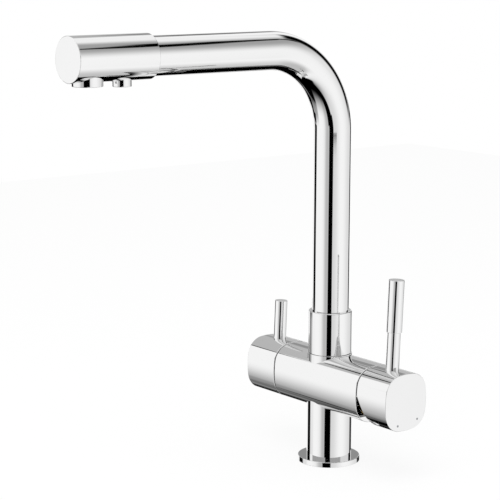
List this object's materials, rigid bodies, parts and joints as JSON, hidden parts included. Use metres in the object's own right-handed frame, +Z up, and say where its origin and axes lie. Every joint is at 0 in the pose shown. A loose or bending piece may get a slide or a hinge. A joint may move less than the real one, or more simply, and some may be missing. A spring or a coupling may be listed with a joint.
{
  "type": "three way filtered water tap",
  "caption": "Deck-mounted kitchen tap with a swivelling square-turned spout, a side mixer lever, a second lever for filtered water and separate outlets for each.",
  "frame": {"origin": "on the column's axis, level with the deck that the base flange stands on", "axes": "+Z up along the column, -Y forward along the spout at rest, +X towards the mixer lever"},
  "size_m": [0.162, 0.2558, 0.3334],
  "materials": {
    "polished_chrome": "bright chrome plating on brass, mirror polished",
    "turned_brass": "bare turned brass",
    "stainless_steel": "fine turned stainless steel",
    "ceramic": "lapped alumina ceramic",
    "black_rubber": "moulded nitrile rubber",
    "cartridge_plastic": "moulded acetal",
    "outlet_plastic": "moulded grey plastic",
    "clear_plastic": "milky polyethylene tube",
    "grey_inlay": "grey moulded plastic, set flush"
  },
  "bodies": {
    "fixed_body": {"base_flange": "polished_chrome", "base_seal": "black_rubber", "column": "polished_chrome", "valve_body": "polished_chrome", "cartridge_base": "cartridge_plastic", "cartridge_port_seals": "black_rubber", "cartridge_fixed_disc": "ceramic", "cartridge_housing": "cartridge_plastic", "cartridge_nut": "turned_brass", "mixer_cover": "polished_chrome", "filter_seat_seal": "black_rubber", "filter_fixed_disc": "ceramic", "filter_headwork": "turned_brass", "spout_spigot": "turned_brass", "spigot_o_rings": "black_rubber", "glide_ring": "cartridge_plastic"},
    "mixer_rotor": {"lever_holder": "cartridge_plastic", "lever_pin": "stainless_steel"},
    "mixer_lever": {"mixer_spindle": "stainless_steel", "mixer_handle": "polished_chrome", "mixer_lever_rod": "polished_chrome", "mixer_lever_grip": "polished_chrome", "mixer_grub_screw": "stainless_steel", "mixer_screw_plug": "grey_inlay", "hot_index_dot": "grey_inlay", "cold_index_dot": "grey_inlay"},
    "flow_disc": {"cartridge_moving_disc": "ceramic", "disc_carrier": "cartridge_plastic"},
    "filter_lever": {"filter_moving_disc": "ceramic", "filter_spindle": "turned_brass", "filter_stem_o_rings": "black_rubber", "filter_circlip": "stainless_steel", "filter_handle": "polished_chrome", "filter_lever_rod": "polished_chrome", "filter_grub_screw": "stainless_steel", "filter_screw_plug": "grey_inlay"},
    "swivel_spout": {"spout_collar": "polished_chrome", "spout_lock_screw": "stainless_steel", "inner_tube_adapter": "turned_brass", "adapter_o_ring": "black_rubber", "inner_tube": "clear_plastic", "spout_tube": "polished_chrome", "spout_head": "polished_chrome", "head_core": "cartridge_plastic", "head_o_rings": "black_rubber", "inner_tube_o_ring": "black_rubber", "main_outlet": "polished_chrome", "aerator": "outlet_plastic", "aerator_washer": "black_rubber", "filter_outlet": "polished_chrome", "filter_outlet_insert": "outlet_plastic", "filter_outlet_washer": "black_rubber"}
  },
  "joints": [
    {"name": "mixer_temperature", "type": "hinge", "parent": "fixed_body", "child": "mixer_rotor", "pos_m": [0.04105, 0, 0.0635], "axis": [1, 0, 0], "range_deg": [-45, 45]},
    {"name": "mixer_flow", "type": "hinge", "parent": "mixer_rotor", "child": "mixer_lever", "pos_m": [0.04105, 0, 0.0635], "axis": [0, 1, 0], "range_deg": [0, 25]},
    {"name": "disc_slide", "type": "slide", "parent": "mixer_rotor", "child": "flow_disc", "axis": [0, 0, 1], "range_m": [0, 0.00265]},
    {"name": "filter_turn", "type": "hinge", "parent": "fixed_body", "child": "filter_lever", "pos_m": [-0.05, 0, 0.0635], "axis": [1, 0, 0], "range_deg": [0, 90]},
    {"name": "spout_swivel", "type": "hinge", "parent": "fixed_body", "child": "swivel_spout", "pos_m": [0, 0, 0.0873], "axis": [0, 0, 1], "continuous": true}
  ],
  "couplings": [
    {"joint": "disc_slide", "follows": "mixer_flow", "m_per_rad": 0.006}
  ]
}
